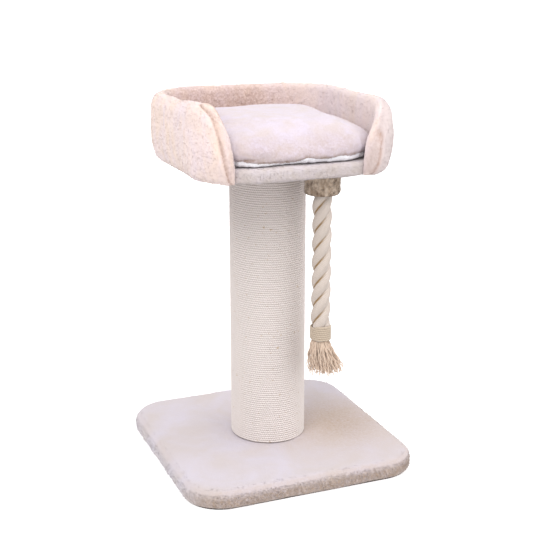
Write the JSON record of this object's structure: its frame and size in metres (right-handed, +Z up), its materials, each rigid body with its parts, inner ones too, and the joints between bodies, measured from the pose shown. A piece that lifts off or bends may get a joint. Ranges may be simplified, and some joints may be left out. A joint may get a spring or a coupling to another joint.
{
  "type": "cat scratching post",
  "caption": "Post wound with sisal on a square plush base, carrying a plush bed with a padded wall open at the front, a loose cushion and a hanging play rope.",
  "frame": {"origin": "on the floor, under the middle of the base and the post's axis", "axes": "+Z up along the post; the open front of the bed faces -Y; +X is to the right of someone who faces the open front from -Y"},
  "size_m": [0.5, 0.5, 0.7725],
  "materials": {
    "base_underlay": "needled felt",
    "base_board": "raw chipboard",
    "base_cover": "short plush",
    "bolts": "zinc plated",
    "washers": "zinc plated",
    "inserts": "turned",
    "post_plugs": "raw",
    "post_tube": "wound kraft board, matte",
    "sisal_winding": "bleached sisal rope, matte",
    "bed_board": "raw chipboard",
    "bed_underlay": "short plush",
    "bed_cover": "short plush",
    "wall_cover": "short plush",
    "wall_padding": "open-cell foam",
    "wall_panel": "hardboard",
    "wall_screws": "zinc plated",
    "cushion_lining": "plain woven cotton",
    "cushion_top": "short plush",
    "rope_cap_shell": "moulded",
    "rope_cap_cover": "short plush",
    "rope_hook": "zinc plated",
    "rope_link": "zinc plated",
    "rope_eye": "zinc plated",
    "play_rope": "three-strand cotton, matte",
    "rope_whipping": "cotton cord, matte",
    "rope_tassel": "loose cotton yarn"
  },
  "bodies": {
    "stand": {"base_underlay": "base_underlay", "base_board": "base_board", "base_cover": "base_cover", "base_bolt_1": "bolts", "base_bolt_2": "bolts", "base_bolt_3": "bolts", "bed_bolt_1": "bolts", "bed_bolt_2": "bolts", "bed_bolt_3": "bolts", "base_washer_1": "washers", "base_washer_2": "washers", "base_washer_3": "washers", "bed_washer_1": "washers", "bed_washer_2": "washers", "bed_washer_3": "washers", "lower_insert_1": "inserts", "lower_insert_2": "inserts", "lower_insert_3": "inserts", "upper_insert_1": "inserts", "upper_insert_2": "inserts", "upper_insert_3": "inserts", "post_lower_plug": "post_plugs", "post_upper_plug": "post_plugs", "post_tube": "post_tube", "sisal_winding": "sisal_winding", "bed_board": "bed_board", "bed_underlay": "bed_underlay", "bed_cover": "bed_cover", "wall_cover": "wall_cover", "wall_padding": "wall_padding", "wall_panel": "wall_panel", "wall_screw_1": "wall_screws", "wall_screw_2": "wall_screws", "wall_screw_3": "wall_screws", "wall_screw_4": "wall_screws", "wall_screw_5": "wall_screws", "rope_cap_shell": "rope_cap_shell", "rope_cap_cover": "rope_cap_cover", "rope_hook": "rope_hook"},
    "link": {"rope_link": "rope_link"},
    "rope": {"rope_eye": "rope_eye", "play_rope": "play_rope", "rope_whipping": "rope_whipping", "rope_tassel": "rope_tassel"},
    "cushion": {"cushion_top": "cushion_top", "cushion_lining": "cushion_lining"}
  },
  "joints": [
    {"name": "rope_swing_out", "type": "hinge", "parent": "stand", "child": "link", "pos_m": [0.06605, -0.12796, 0.6091], "axis": [-0.8886, -0.4587, 0], "range_deg": [-3.5, 16]},
    {"name": "rope_swing_side", "type": "hinge", "parent": "link", "child": "rope", "pos_m": [0.06605, -0.12796, 0.6004], "axis": [0.4587, -0.8886, 0], "range_deg": [-16, 16]},
    {"name": "cushion_lift", "type": "slide", "parent": "stand", "child": "cushion", "axis": [0, 0, 1], "range_m": [0, 0.25]}
  ]
}
